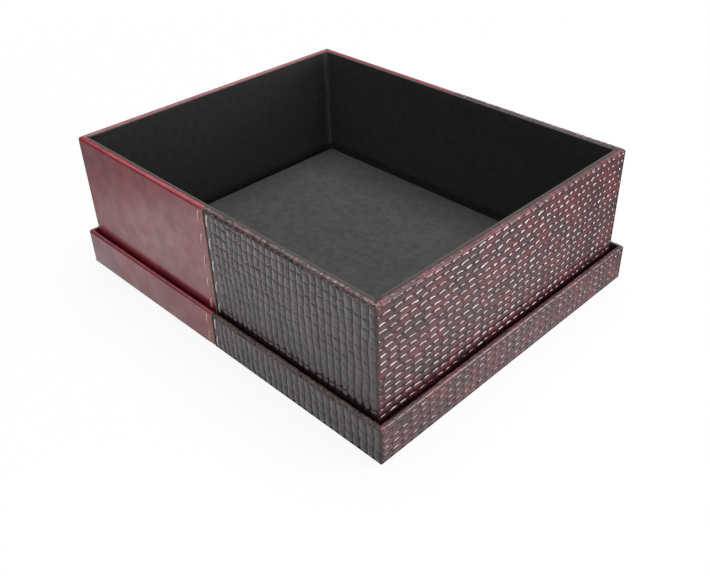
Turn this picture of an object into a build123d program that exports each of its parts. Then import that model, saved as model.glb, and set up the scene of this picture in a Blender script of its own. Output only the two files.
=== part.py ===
from build123d import *
import os

# A stationery box in two leathers. It stands in its own lid, which lies upside down under it.
# Sizes are in millimetres. The origin is the middle of the lid's footprint, on the table.
# +X runs along the long side to the embossed half, -Y is the front and +Z is up.

# ---- outside ----
lid_length = 370.0
lid_width = 305.0
lid_height = 33.0
overall_height = 126.0      # from the table to the box's rim
corner_radius = 1.6         # upright corners of the leather
rim_radius = 0.5            # outer edge of a leather rim

# ---- play between the box and the lid's lined walls ----
play_front = 2.6
play_back = 4.5
play_left = 4.0
play_right = 5.0

# ---- seam between the two leathers ----
seam_x = -1.0
seam_gap = 0.6

# ---- lid, layer by layer ----
lid_skin = 0.8
lid_wall_board = 2.1
lid_top_board = 4.0
lid_lining = 0.6
lid_turn_depth = 6.0        # how far the leather turns down inside the rim

# ---- box, layer by layer ----
box_skin = 0.9
box_wall_board = 3.0
box_floor_board = 4.0
box_turn_in = 0.6           # leather pared thin where it turns in behind the liner cards
box_turn_depth = 15.0
box_turn_under = 12.0       # how far the leather turns in under the floor
base_sheet = 0.7
base_sheet_gap = 0.3        # between the base sheet and the leather round it
liner_card = 1.9
velvet = 0.7
liner_drop = 0.4            # from the rim down to the velvet
floor_card = 3.5
floor_pad_gap = 0.3         # between the floor pad and the lined walls

# ---- hand stitches ----
stitch_length = 9.0
stitch_width = 1.2
stitch_thickness = 0.4
stitch_slant = 6.0          # degrees off the upright
stitch_offset = 5.3         # from the seam to a row
box_stitch_pitch = 20.0
box_stitch_start = 8.5      # from the rim down to the middle of the first stitch
lid_stitch_pitch = 18.0
lid_stitch_start = 7.5
stitch_channel_width = 2.4  # channels in the lid's top keep its stitches off the table
stitch_channel_depth = 0.5

# ---- heights and sizes that follow ----
lid_wall = lid_skin + lid_wall_board + lid_lining
lid_inner_length = lid_length - 2 * lid_wall
lid_inner_width = lid_width - 2 * lid_wall
lid_board_top = lid_skin + lid_top_board
lid_floor = lid_board_top + lid_lining

box_length = lid_inner_length - play_left - play_right
box_width = lid_inner_width - play_front - play_back
box_center_x = (play_left - play_right) / 2
box_center_y = (play_front - play_back) / 2
box_board_bottom = lid_floor + box_skin
box_board_top = box_board_bottom + box_floor_board
box_card_length = box_length - 2 * (box_skin + box_wall_board + box_turn_in)
box_card_width = box_width - 2 * (box_skin + box_wall_board + box_turn_in)
box_lined_length = box_card_length - 2 * (liner_card + velvet)
box_lined_width = box_card_width - 2 * (liner_card + velvet)
velvet_top = overall_height - liner_drop

lid_plane = Plane.XY
box_plane = Plane(origin=(box_center_x, box_center_y, 0))

smooth_side = Plane.YZ.offset(seam_x - seam_gap / 2)
embossed_side = Plane.YZ.offset(seam_x + seam_gap / 2)


# ---- shapes that the lid and the box share ----


def slab(plane, length, width, bottom, top):
    """A flat sheet or board lying level."""
    with BuildPart() as sheet:
        with BuildSketch(plane.offset(bottom)):
            Rectangle(length, width)
        extrude(amount=top - bottom)
    return sheet.part


def four_walls(plane, length, width, thickness, bottom, top):
    """Upright walls: the front and back run the full length, the sides fit between them."""
    side_width = width - 2 * thickness
    layout = {
        "front": (0, -(width - thickness) / 2, length, thickness),
        "back": (0, (width - thickness) / 2, length, thickness),
        "left": (-(length - thickness) / 2, 0, thickness, side_width),
        "right": ((length - thickness) / 2, 0, thickness, side_width),
    }
    walls = {}
    for name, (x, y, along_x, along_y) in layout.items():
        with BuildPart() as wall:
            with BuildSketch(plane.offset(bottom)):
                with Locations((x, y)):
                    Rectangle(along_x, along_y)
            extrude(amount=top - bottom)
        walls[name] = wall.part
    return walls


def leather_cover(plane, length, width, bottom, rim, skin, board, turn_in, turn_depth, turn_under):
    """Leather round four walls, over their rim, down inside it and, if wanted, in under the floor."""
    board_length = length - 2 * skin
    board_width = width - 2 * skin
    inside_length = board_length - 2 * board
    inside_width = board_width - 2 * board
    with BuildPart() as cover:
        with BuildSketch(plane.offset(bottom)):
            RectangleRounded(length, width, corner_radius)
            Rectangle(board_length, board_width, mode=Mode.SUBTRACT)
        extrude(amount=rim - bottom)
        with BuildSketch(plane.offset(rim - skin)):
            Rectangle(board_length, board_width)
            Rectangle(inside_length - 2 * turn_in, inside_width - 2 * turn_in, mode=Mode.SUBTRACT)
        extrude(amount=skin)
        with BuildSketch(plane.offset(rim - turn_depth)):
            Rectangle(inside_length, inside_width)
            Rectangle(inside_length - 2 * turn_in, inside_width - 2 * turn_in, mode=Mode.SUBTRACT)
        extrude(amount=turn_depth - skin)
        if turn_under > 0:
            with BuildSketch(plane.offset(bottom)):
                Rectangle(board_length, board_width)
                Rectangle(length - 2 * turn_under, width - 2 * turn_under, mode=Mode.SUBTRACT)
            extrude(amount=skin)
        fillet(cover.faces().sort_by(Axis.Z)[-1].outer_wire().edges(), radius=rim_radius)
    return cover.part


def halves(whole):
    """The smooth and the embossed half of a piece that the seam divides."""
    with BuildPart() as smooth:
        add(whole)
        split(bisect_by=smooth_side, keep=Keep.BOTTOM)
    with BuildPart() as embossed:
        add(whole)
        split(bisect_by=embossed_side, keep=Keep.TOP)
    return {"smooth": smooth.part, "embossed": embossed.part}


def row_places(first, last, pitch):
    """Middles of the stitches in a row that runs down from first and stays above last."""
    count = int((first - last - stitch_length / 2) // pitch) + 1
    return [(0, first - pitch * index) for index in range(count)]


def wall_stitches(x, center_y, width, first, last, pitch):
    """One row of stitches up the front wall and one up the back wall, lying on the leather."""
    front = Plane(origin=(x, center_y - width / 2, 0), x_dir=(1, 0, 0), z_dir=(0, -1, 0))
    back = Plane(origin=(x, center_y + width / 2, 0), x_dir=(-1, 0, 0), z_dir=(0, 1, 0))
    with BuildPart() as stitches:
        for face in (front, back):
            with BuildSketch(face):
                with Locations(*row_places(first, last, pitch)):
                    SlotOverall(stitch_length, stitch_width, rotation=90 + stitch_slant)
            extrude(amount=stitch_thickness)
    return stitches.part


pieces = {}

# ---- lid, upside down ----

lid_boards = four_walls(
    lid_plane,
    lid_length - 2 * lid_skin,
    lid_width - 2 * lid_skin,
    lid_wall_board,
    lid_board_top,
    lid_height - lid_skin,
)
for side, board in lid_boards.items():
    pieces[f"lid_{side}_board"] = board

pieces["lid_top_board"] = slab(
    lid_plane, lid_length - 2 * lid_skin, lid_width - 2 * lid_skin, lid_skin, lid_board_top
)

lid_cover = leather_cover(
    lid_plane, lid_length, lid_width, lid_skin, lid_height,
    lid_skin, lid_wall_board, lid_lining, lid_turn_depth, 0,
)
for half, cover in halves(lid_cover).items():
    pieces[f"lid_{half}_cover"] = cover

# The leather of the lid's top lies on the table, with a channel for each row of stitches.
with BuildPart() as lid_panel:
    with BuildSketch(lid_plane):
        RectangleRounded(lid_length, lid_width, corner_radius)
    extrude(amount=lid_skin)
    with BuildSketch(lid_plane):
        with Locations((seam_x - stitch_offset, 0), (seam_x + stitch_offset, 0)):
            Rectangle(stitch_channel_width, lid_width)
    extrude(amount=stitch_channel_depth, mode=Mode.SUBTRACT)
for half, panel in halves(lid_panel.part).items():
    pieces[f"lid_{half}_panel"] = panel

pieces["lid_top_lining"] = slab(
    lid_plane,
    lid_inner_length + 2 * lid_lining,
    lid_inner_width + 2 * lid_lining,
    lid_board_top,
    lid_floor,
)
lid_linings = four_walls(
    lid_plane,
    lid_inner_length + 2 * lid_lining,
    lid_inner_width + 2 * lid_lining,
    lid_lining,
    lid_floor,
    lid_height - lid_turn_depth,
)
for side, lining in lid_linings.items():
    pieces[f"lid_{side}_lining"] = lining

for half, row_x in (("smooth", seam_x - stitch_offset), ("embossed", seam_x + stitch_offset)):
    pieces[f"lid_{half}_stitches"] = wall_stitches(
        row_x, 0, lid_width, lid_height - lid_stitch_start, 0, lid_stitch_pitch
    )
    # Stitches across the lid's top, each held up against the roof of its channel.
    row_count = int((lid_width - stitch_length) // lid_stitch_pitch) + 1
    with BuildPart() as top_stitches:
        with BuildSketch(lid_plane.offset(stitch_channel_depth - stitch_thickness)):
            with Locations((row_x, 0)):
                with GridLocations(stitch_offset, lid_stitch_pitch, 1, row_count):
                    SlotOverall(stitch_length, stitch_width, rotation=90)
        extrude(amount=stitch_thickness)
    pieces[f"lid_{half}_top_stitches"] = top_stitches.part

# ---- box ----

box_boards = four_walls(
    box_plane,
    box_length - 2 * box_skin,
    box_width - 2 * box_skin,
    box_wall_board,
    box_board_top,
    overall_height - box_skin,
)
for side, board in box_boards.items():
    pieces[f"box_{side}_board"] = board

pieces["box_floor_board"] = slab(
    box_plane, box_length - 2 * box_skin, box_width - 2 * box_skin, box_board_bottom, box_board_top
)
pieces["box_base_sheet"] = slab(
    box_plane,
    box_length - 2 * (box_turn_under + base_sheet_gap),
    box_width - 2 * (box_turn_under + base_sheet_gap),
    box_board_bottom - base_sheet,
    box_board_bottom,
)

box_cover = leather_cover(
    box_plane, box_length, box_width, lid_floor, overall_height,
    box_skin, box_wall_board, box_turn_in, box_turn_depth, box_turn_under,
)
for half, cover in halves(box_cover).items():
    pieces[f"box_{half}_cover"] = cover

# Liner cards stand on the floor board, and velvet faces each card and folds over its top edge.
card_and_velvet = liner_card + velvet
card_places = {
    "front": (0, -1, box_card_width, box_card_length),
    "back": (0, 1, box_card_width, box_card_length),
    "left": (-1, 0, box_card_length, box_card_width - 2 * card_and_velvet),
    "right": (1, 0, box_card_length, box_card_width - 2 * card_and_velvet),
}
for side, (way_x, way_y, across, run) in card_places.items():
    # Local X points from the middle of the box to the wall, and the card's face looks back inward.
    upright = Plane(
        origin=(box_center_x, box_center_y, box_board_top), x_dir=(way_x, way_y, 0), z_dir=(0, 0, 1)
    )
    outer = across / 2
    card_height = velvet_top - velvet - box_board_top
    with BuildPart() as card:
        with BuildSketch(upright):
            with Locations((outer - liner_card / 2, 0)):
                Rectangle(liner_card, run)
        extrude(amount=card_height)
    pieces[f"box_{side}_liner_card"] = card.part
    with BuildPart() as facing:
        with BuildSketch(upright):
            with Locations((outer - liner_card - velvet / 2, 0)):
                Rectangle(velvet, run)
        extrude(amount=card_height)
        with BuildSketch(upright.offset(card_height)):
            with Locations((outer - card_and_velvet / 2, 0)):
                Rectangle(card_and_velvet, run)
        extrude(amount=velvet)
    pieces[f"box_{side}_velvet"] = facing.part

# The floor pad is a card with velvet over its face and down its edges.
pad_length = box_lined_length - 2 * floor_pad_gap
pad_width = box_lined_width - 2 * floor_pad_gap
pieces["box_floor_card"] = slab(
    box_plane, pad_length - 2 * velvet, pad_width - 2 * velvet, box_board_top, box_board_top + floor_card
)
with BuildPart() as floor_velvet:
    with BuildSketch(box_plane.offset(box_board_top)):
        Rectangle(pad_length, pad_width)
    extrude(amount=floor_card + velvet)
    with BuildSketch(box_plane.offset(box_board_top)):
        Rectangle(pad_length - 2 * velvet, pad_width - 2 * velvet)
    extrude(amount=floor_card, mode=Mode.SUBTRACT)
pieces["box_floor_velvet"] = floor_velvet.part

for half, row_x in (("smooth", seam_x - stitch_offset), ("embossed", seam_x + stitch_offset)):
    pieces[f"box_{half}_stitches"] = wall_stitches(
        row_x, box_center_y, box_width, overall_height - box_stitch_start, lid_floor, box_stitch_pitch
    )

# ---- one file for each piece ----

os.makedirs("parts", exist_ok=True)
for name, piece in pieces.items():
    piece.label = name
    export_step(piece, f"parts/{name}.step")
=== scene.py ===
import bisect
import math
import random

import bpy
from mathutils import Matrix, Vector, noise


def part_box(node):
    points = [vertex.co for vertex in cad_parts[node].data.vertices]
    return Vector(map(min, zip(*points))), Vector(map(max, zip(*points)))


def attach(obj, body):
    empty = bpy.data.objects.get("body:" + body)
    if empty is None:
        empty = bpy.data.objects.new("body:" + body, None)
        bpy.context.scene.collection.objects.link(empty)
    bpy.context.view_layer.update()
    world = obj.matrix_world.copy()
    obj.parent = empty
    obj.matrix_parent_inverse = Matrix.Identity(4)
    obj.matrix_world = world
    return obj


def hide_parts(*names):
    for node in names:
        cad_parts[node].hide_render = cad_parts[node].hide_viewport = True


bl_info = {
    "name": "Two-Leather Stationery Box",
    "version": (1, 0, 0),
    "blender": (4, 5, 0),
    "location": "View3D > Sidebar > Stationery Box",
    "description": "Dresses a lidded box in smooth and embossed leather, velvet and hand stitching",
    "category": "Object",
}

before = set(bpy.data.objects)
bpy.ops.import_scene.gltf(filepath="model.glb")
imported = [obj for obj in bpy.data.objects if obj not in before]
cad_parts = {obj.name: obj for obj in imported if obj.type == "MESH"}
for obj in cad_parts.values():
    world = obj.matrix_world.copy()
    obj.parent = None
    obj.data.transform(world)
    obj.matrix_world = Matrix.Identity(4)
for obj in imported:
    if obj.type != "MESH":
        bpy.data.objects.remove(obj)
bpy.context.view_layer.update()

MM = 0.001
RIGHT = Vector((1.0, 0.0, 0.0))
BACK = Vector((0.0, 1.0, 0.0))
UP = Vector((0.0, 0.0, 1.0))

# Smooth leather
SHARP = 40  # degrees between faces, above which an edge of smooth leather stays crisp
TURN_IN = 15.0 * MM  # how far the box's leather turns down inside its rim
SPARE = 40.0 * MM  # leather past the seam, which is cut off
PRESSED_EDGE = 0.4 * MM  # width of the step down into the panel's stitch channel

# Embossed leather
NOISE_SEED = 5  # without a seed, noise_vector would follow the clock
WANDER = 35.0 * MM  # over how much leather the lines of the net wander slowly
FLUTTER = 13.0 * MM  # and over how much they wander quickly
WANDER_ALONG = 0.14  # how far they wander along a course, in cells
WANDER_ACROSS = 0.22  # and across it
SLOW_LAYER, QUICK_LAYER = 3.7, 1.9  # how far apart the noises of two seeds are
SHIFT = 0.17  # how far a scale's end is shifted along its course, in cells
LEAN = 0.08  # how far a scale's end leans, in cells
ALIGNED = 0.6  # share of the courses that start in line with the one below
SLOPE_SHARE, SHOULDER_SHARE, DOME_SHARE = 0.45, 0.30, 0.25  # of a scale's height
SCALE_LEAN = 0.11  # how much single scales lean at most
SHINGLE = -0.05  # how much all the scales of a level course lean
LID_PRESSED = 0.78  # share of the arch left in the lid's scales, which are pressed flatter
RIM_STRETCH = 3.0 * MM  # leather below the rim over which the scales flatten out
RIM_RELIEF = {"front": 0.25, "side": 0.50}  # share of the relief left on the rim
RIM_FILL = {"front": 0.6, "side": 0.2}  # share of the grooves' painted shade lost on the rim
CREASE = 2.0 * MM  # width of the crease below the rim, flat over a fifth of it each way
BEND_CUTS = 4  # steps in which leather is cut so that it can bend
MITRE = 30.0 * MM  # length of wall over which the scales give way to a corner
DARK, WINE = 0.22, 0.75  # share of the wine ground that shows
PRESSED_GLOSS = 0.7  # share of the glaze left on the strip beside the seam
BOX_SEED, LID_SEED, TOP_SEED, SEED_STEP = 11, 71, 101, 3

# Velvet and thread
RIPPLE = 45.0 * MM  # length of the velvet's ripples
VELVET_STEP = 9.0 * MM  # distance between the velvet's points along a wall
VELVET_ROWS = 8  # of such points up a wall
FLOOR_SEED = 5.0
LEFT_WALL_SHADE = 0.78  # brightness of the left wall's velvet: painted shade, a darker copy of the wall velvet
THREAD_SIDES = 8
THREAD_STEPS = 14  # along one stitch
THREAD_TWIST = 0.7  # radians between two steps
THREAD_FLATNESS = 0.72
STITCH_SEED = 7
STITCH_LENGTHS, STITCH_BOWS = (0.93, 1.0), (0.75, 1.2)  # as shares of the size set
STITCH_LEAN = math.radians(6.0)
STITCH_SWAY = 0.02  # unevenness of the stitches' lean, in radians
STITCH_HEIGHT = 0.35  # share of the thread's radius, or of a millimetre, above the leather
BOX_PITCH = 20.0 * MM
LID_PITCH = 18.0 * MM

# Stage
SOFTBOXES = (  # name, place, what it is aimed at, width and height, power in watts
    ("overhead_softbox", (0.0, 0.25, 1.70), (0.0, 0.0, 0.0), (1.6, 1.3), 41.0),
    ("right_softbox", (1.20, 0.64, 0.30), (0.15, 0.0, 0.08), (0.85, 0.42), 14.7),
    ("front_softbox", (0.20, -1.35, 0.60), (0.0, 0.0, 0.06), (0.9, 0.6), 2.5),
)
FLOOR_SIZE = 30.0
GLOW_POOL, SHADE_POOL = (0.40, 1.20), (0.45, 1.10)  # distances over which its light fades
LIGHT_POOL = (0.08, -0.20, 0.0)  # middle of the lit part of the floor
FLAG_RADIUS, FLAG_HEIGHT, FLAG_GAP = 3.0, 1.5, 0.01
FLAG_SIDES, FLAG_BLACK = 48, (0.02, 0.02, 0.02)
AMBIENT = 0.25  # strength of the studio's own soft light
LENS, SENSOR, LENS_SHIFT = 42.961, 36.0, (-0.03026, -0.03904)
CAMERA_PLACE = (0.46607, -0.43753, 0.43522)
CAMERA_TURN = (56.2126, 0.9125, 44.0956)  # degrees

noise.seed_set(NOISE_SEED)


# ---------------------------------------------------------------- sizes and colours


def length(name, description, millimetres):
    """A length that a user may change, kept in metres."""
    return bpy.props.FloatProperty(
        name=name, description=description, default=millimetres * MM, unit="LENGTH", precision=5
    )


def colour(name, description, default):
    """A colour that a user may change, in linear light."""
    return bpy.props.FloatVectorProperty(
        name=name, description=description, default=default, subtype="COLOR", min=0.0, max=1.0
    )


class BoxSizes(bpy.types.PropertyGroup):
    """Sizes of the leatherwork, stitching and velvet."""

    outer_round: length("Outer rounding", "Radius where smooth leather turns over a rim", 2.4)
    corner_round: length("Corner rounding", "Radius of the upright corners", 1.6)
    inner_round: length("Inner rounding", "Radius where leather turns down inside a rim", 0.8)
    panel_round: length("Panel rounding", "Radius of the edges of the lid's top panels", 0.25)
    rim_round: length("Embossed rounding", "Radius where embossed leather turns over a rim", 2.2)
    groove_depth: length("Groove depth", "Depth of the pattern between two scales", 0.36)
    groove_slope: length("Groove slope", "Width of a groove's steep side", 0.28)
    shoulder: length("Scale shoulder", "Width of the rounded shoulder of a scale", 0.45)
    dome: length("Scale dome", "Width of the slope next to a scale's flat top", 0.80)
    scale_proud: length("Scale height", "How far the scales of a wall stand out", 0.14)
    front_arch: length("Front arch", "How much an upright course of scales is arched", 0.82)
    side_arch: length("Side arch", "How much a level course of scales is arched", 0.60)
    rim_crease: length("Rim crease", "Depth of the crease pressed in below an embossed rim", 0.55)
    scale_tilt: length("Scale unevenness", "How much the scales differ in height", 0.16)
    sheet_edge: length("Sheet edge", "Plain edge around an embossed sheet", 0.9)
    seam_strip: length("Seam strip", "Plain strip of embossed leather beside the seam", 8.0)
    front_course_near: length("Front course by the seam", "Width of the first upright course", 6.0)
    front_course_far: length("Front course by the corner", "Width of the last upright course", 7.1)
    front_scale: length("Front scale", "Height of a scale in an upright course", 9.0)
    side_course: length("Side course", "Height of a level course", 6.6)
    side_scale_near: length("Side scale in front", "Length of a side scale at the front", 9.8)
    side_scale_far: length("Side scale behind", "Length of a side scale at the back", 7.0)
    stitch_length: length("Stitch length", "Length of one stitch", 10.0)
    stitch_radius: length("Thread radius", "Half the thickness of the sewing thread", 0.60)
    stitch_bow: length("Stitch bow", "How far the middle of a stitch leans sideways", 0.55)
    stitch_sink: length("Stitch channel", "Depth of the channels for the lid's stitches", 0.5)
    velvet_pile: length("Velvet thickness", "Thickness of the velvet with its pile", 0.7)
    velvet_round: length("Velvet rounding", "Radius where velvet folds over an edge", 0.9)
    velvet_ripple: length("Velvet ripple", "Unevenness of the glued velvet", 0.12)


class BoxColours(bpy.types.PropertyGroup):
    """Colours of the leathers, cloths, boards and threads."""

    red: colour("Red leather", "Smooth leather", (0.295, 0.030, 0.045))
    red_deep: colour("Deep red leather", "Darker clouds in the smooth leather", (0.210, 0.020, 0.035))
    raw_edge: colour("Raw edge", "Backing seen on a cut edge of the smooth leather", (0.75, 0.58, 0.44))
    scale_dark: colour("Scale", "Dark antique finish on the scales", (0.020, 0.018, 0.018))
    scale_wine: colour("Wine ground", "Wine colour under the dark finish", (0.140, 0.031, 0.038))
    scale_worn: colour("Worn edge", "Embossed leather rubbed paler over a rim", (0.185, 0.120, 0.125))
    wall_velvet: colour("Wall velvet", "Black velvet on the walls", (0.028, 0.026, 0.024))
    floor_velvet: colour("Floor velvet", "Black velvet of the floor, brushed flat", (0.056, 0.053, 0.051))
    # painted highlight along the velvet's top edge
    velvet_edge_highlight: colour("Velvet edge highlight", "Velvet rubbed along its top edge", (0.070, 0.066, 0.062))
    lining: colour("Lid lining", "Black lining paper of the lid", (0.012, 0.011, 0.011))
    board: colour("Greyboard", "Boards under the leather", (0.235, 0.215, 0.180))
    card: colour("Card", "Cards under the velvet", (0.300, 0.270, 0.215))
    base_paper: colour("Base paper", "Paper under the box", (0.015, 0.014, 0.014))
    ivory: colour("Ivory thread", "Thread on the embossed leather", (0.96, 0.95, 0.91))
    pink: colour("Pink thread", "Thread on the smooth leather", (0.92, 0.72, 0.64))
    backdrop: colour("Backdrop", "Floor and surroundings", (0.75, 0.75, 0.75))


# ---------------------------------------------------------------- shader building


class Varying:
    """A value that varies over a surface; arithmetic on it adds Math nodes."""

    def __init__(self, finish, socket):
        self.finish = finish
        self.socket = socket

    def _math(self, operation, first, second):
        return self.finish.node("ShaderNodeMath", {"operation": operation}, {0: first, 1: second})

    def __add__(self, other):
        return self._math("ADD", self, other)

    def __sub__(self, other):
        return self._math("SUBTRACT", self, other)

    def __rsub__(self, other):
        return self._math("SUBTRACT", other, self)

    def __mul__(self, other):
        return self._math("MULTIPLY", self, other)

    __radd__ = __add__
    __rmul__ = __mul__

    def output(self, name):
        """Another output of the node that this value comes from."""
        return Varying(self.finish, self.socket.node.outputs[name])


class Finish:
    """A node material under construction."""

    def __init__(self, tree):
        self.tree = tree
        self.tree.nodes.clear()

    def node(self, kind, settings=None, sockets=None, output=0):
        """Adds a node, sets it up, feeds its sockets and returns one of its outputs."""
        made = self.tree.nodes.new(kind)
        for setting, value in (settings or {}).items():
            setattr(made, setting, value)
        for socket, value in (sockets or {}).items():
            if isinstance(value, Varying):
                self.tree.links.new(value.socket, made.inputs[socket])
            elif hasattr(value, "__len__"):
                wanted = len(made.inputs[socket].default_value)
                made.inputs[socket].default_value = (tuple(value) + (1.0,))[:wanted]
            else:
                made.inputs[socket].default_value = value
        return Varying(self, made.outputs[output]) if made.outputs else None

    def place(self):
        """Object coordinates."""
        return self.node("ShaderNodeTexCoord", output="Object")

    def marked(self, name):
        """The values that a mesh keeps under that name."""
        return self.node("ShaderNodeAttribute", {"attribute_name": name}, output="Fac")

    def clouds(self, scale, detail=2.0, roughness=0.5, place=None):
        """Soft noise from 0 to 1, with scale features per metre."""
        sockets = {"Vector": place or self.place(), "Scale": scale}
        sockets.update({"Detail": detail, "Roughness": roughness})
        return self.node("ShaderNodeTexNoise", sockets=sockets)

    def rise(self, value, start, end):
        """0 below start, 1 above end, smooth between."""
        sockets = {"Value": value, "From Min": start, "From Max": end}
        return self.node("ShaderNodeMapRange", {"interpolation_type": "SMOOTHSTEP"}, sockets)

    def blend(self, factor, first, second):
        """A colour that goes from first to second with factor."""
        settings = {"data_type": "RGBA", "clamp_factor": True}
        return self.node("ShaderNodeMix", settings, {0: factor, 6: first, 7: second}, output=2)

    def stretched(self, factors, turn=(0.0, 0.0, 0.0)):
        """Object coordinates turned and stretched."""
        sockets = {"Vector": self.place(), "Rotation": turn, "Scale": factors}
        return self.node("ShaderNodeMapping", sockets=sockets)

    def bump(self, height, distance, strength=1.0):
        """Normals of a height from 0 to 1 that stands for distance."""
        sockets = {"Strength": strength, "Distance": distance, "Height": height}
        return self.node("ShaderNodeBump", sockets=sockets)

    def surface(self, **sockets):
        """Closes the material with a Principled shader; underscores stand for spaces."""
        named = {name.replace("_", " "): value for name, value in sockets.items()}
        shader = self.node("ShaderNodeBsdfPrincipled", sockets=named)
        self.node("ShaderNodeOutputMaterial", sockets={"Surface": shader})


def material(name, paint, *details):
    """The finish of that name, painted once by paint(finish, colours, *details)."""
    own_name = f"{name}_finish"
    made = bpy.data.materials.get(own_name)
    if made is None:
        made = bpy.data.materials.new(own_name)
        made.use_nodes = True
        paint(Finish(made.node_tree), bpy.context.scene.box_colours, *details)
    return made


def shade(factor, tint):
    """A colour made darker or paler."""
    return [factor * part for part in tint]


def smooth_leather(finish, colours):
    """Glossy smooth leather with soft clouds and very fine pores."""
    clouds = finish.clouds(22.0, 4.0, 0.65)
    blotches = finish.clouds(95.0, 3.0, 0.6)
    tone = finish.rise(0.65 * clouds + 0.35 * blotches, 0.38, 0.62)
    pores = finish.clouds(1500.0, 2.0, 0.6)
    swell = finish.clouds(60.0, 1.0)
    polish = finish.rise(0.5 * swell + 0.5 * blotches, 0.36, 0.64)
    finish.surface(
        Base_Color=finish.blend(tone, colours.red_deep, colours.red),
        Roughness=0.30 + 0.10 * clouds,
        Specular_IOR_Level=0.2,
        Coat_Weight=0.62 + 0.34 * polish,
        Coat_Roughness=0.14,
        Coat_IOR=1.60,
        Normal=finish.bump(0.97 * swell + 0.03 * pores, 0.25 * MM),
    )


def raw_edge(finish, colours):
    """Pale backing on the cut edge of the smooth leather."""
    fibres = finish.clouds(2600.0, 2.0, 0.6)
    finish.surface(
        Base_Color=finish.blend(fibres, shade(0.55, colours.raw_edge), colours.raw_edge),
        Roughness=0.75 + 0.1 * fibres,
        Normal=finish.bump(fibres, 0.1 * MM),
    )


def embossed_leather(finish, colours, wine, gloss=1.0):
    """Dark antiqued leather: wine ground in the grooves, nearly black glaze on the scales, and painted
    shade that darkens the grooves and dulls their glaze.

    wine is the share of the ground that shows, and gloss is how much glaze is left.
    """
    relief, edge = finish.marked("relief"), finish.marked("edge")
    patches = finish.rise(finish.clouds(50.0, 4.0, 0.7), 0.40, 0.66)
    # These masks mark the grooves: they raise the roughness there, and below they darken the grooves'
    # colour and cut their coat as painted shade
    recess = 1.0 - finish.rise(relief, 0.08, 0.45)
    groove_floor_shade = 1.0 - finish.rise(relief, 0.02, 0.22)
    grain = finish.clouds(1800.0, 2.0, 0.6)
    shown = wine * (0.30 + 0.80 * patches + 0.2 * grain)
    glazed = finish.blend(shown, colours.scale_dark, colours.scale_wine)
    creases = finish.clouds(420.0, 3.0, 0.6)
    rubs = finish.rise(0.4 * finish.clouds(110.0, 2.0, 0.6) + 0.6 * creases, 0.40, 0.60)
    worn = finish.blend(0.95 * (1.0 - 1.1 * wine) * edge * rubs, glazed, colours.scale_worn)
    shine = gloss * (1.0 - 0.7 * edge)
    pairs = zip(colours.scale_wine, colours.scale_dark)
    # Painted shade: the grooves' colour is a darkened mix of the wine ground and the glaze
    deep = [0.40 * (wine * red + (1.0 - wine) * dark) for red, dark in pairs]
    rubbed = finish.clouds(70.0, 3.0, 0.6)
    shaded_groove_colour = finish.blend(recess, worn, deep)
    finish.surface(
        Base_Color=finish.blend(groove_floor_shade, shaded_groove_colour, shade(0.35, colours.scale_dark)),
        Roughness=0.28 + 0.25 * recess + 0.08 * grain,
        Specular_IOR_Level=0.2,
        # The coat drops in the grooves as painted shade
        Coat_Weight=shine * (0.80 + 0.6 * (rubbed - 0.3) - 0.5 * recess - 0.3 * groove_floor_shade),
        Coat_Roughness=0.15,
        Coat_IOR=1.65,
        Normal=finish.bump(0.8 * creases + 0.2 * grain, 0.14 * MM),
    )


def velvet(finish, colours, tint, top):
    """Short-pile black velvet, with a painted highlight where it folds over the card at height top."""
    height = finish.node("ShaderNodeSeparateXYZ", sockets={0: finish.place()}, output="Z")
    pile = finish.clouds(2200.0, 2.0, 0.7)
    nap = finish.clouds(14.0, 3.0, 0.6)
    mottle = finish.rise(finish.clouds(170.0, 3.0, 0.65), 0.30, 0.70)
    lint = finish.rise(finish.clouds(480.0, 1.0), 0.70, 0.78)
    highlight_unevenness = finish.clouds(260.0, 3.0, 0.6)
    # Painted highlight: the velvet turns paler along its top edge, where its fold catches the light
    rubbed = finish.rise(height + 0.4 * MM * (highlight_unevenness - 0.5), top - 0.9 * MM, top - 0.2 * MM)
    tone = 0.30 * nap + 0.40 * mottle + 0.15 * pile + 0.30 * lint
    cloth = finish.blend(tone, shade(0.50, tint), shade(1.30, tint))
    finish.surface(
        Base_Color=finish.blend(rubbed, cloth, colours.velvet_edge_highlight),
        Roughness=0.85 + 0.1 * pile,
        Sheen_Weight=0.12,
        Sheen_Roughness=0.45,
        Specular_IOR_Level=0.2,
        Normal=finish.bump(pile, 0.12 * MM),
    )


def lining_paper(finish, colours, tint):
    """Matt black paper with a fine laid texture."""
    laid = finish.clouds(700.0, 3.0, 0.65, finish.stretched((1.0, 0.25, 0.6)))
    finish.surface(
        Base_Color=finish.blend(laid, tint, shade(1.6, tint)),
        Roughness=0.62 + 0.25 * laid,
        Normal=finish.bump(laid, 0.06 * MM),
    )


def pressed_board(finish, colours, tint):
    """Grey or buff board with pressed fibres and a few darker flecks."""
    fibres = finish.clouds(420.0, 4.0, 0.7, finish.stretched((1.0, 0.35, 1.0)))
    flecks = finish.rise(finish.clouds(900.0, 1.0), 0.66, 0.74)
    flat = finish.blend(fibres, shade(0.62, tint), tint)
    finish.surface(
        Base_Color=finish.blend(0.6 * flecks, flat, shade(0.35, tint)),
        Roughness=0.82 + 0.12 * fibres,
        Normal=finish.bump(fibres, 0.08 * MM),
    )


def sewing_thread(finish, colours, tint):
    """Waxed linen thread with fine fibres."""
    fibres = finish.clouds(2600.0, 2.0, 0.6, finish.stretched((1.0, 1.0, 0.3), (0.5, 0.0, 0.6)))
    finish.surface(
        Base_Color=finish.blend(fibres, shade(0.80, tint), tint),
        Roughness=0.40 + 0.25 * fibres,
        Coat_Weight=0.4,
        Coat_Roughness=0.25,
        Normal=finish.bump(fibres, 0.02 * MM),
    )


# ---------------------------------------------------------------- mesh handling


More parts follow.
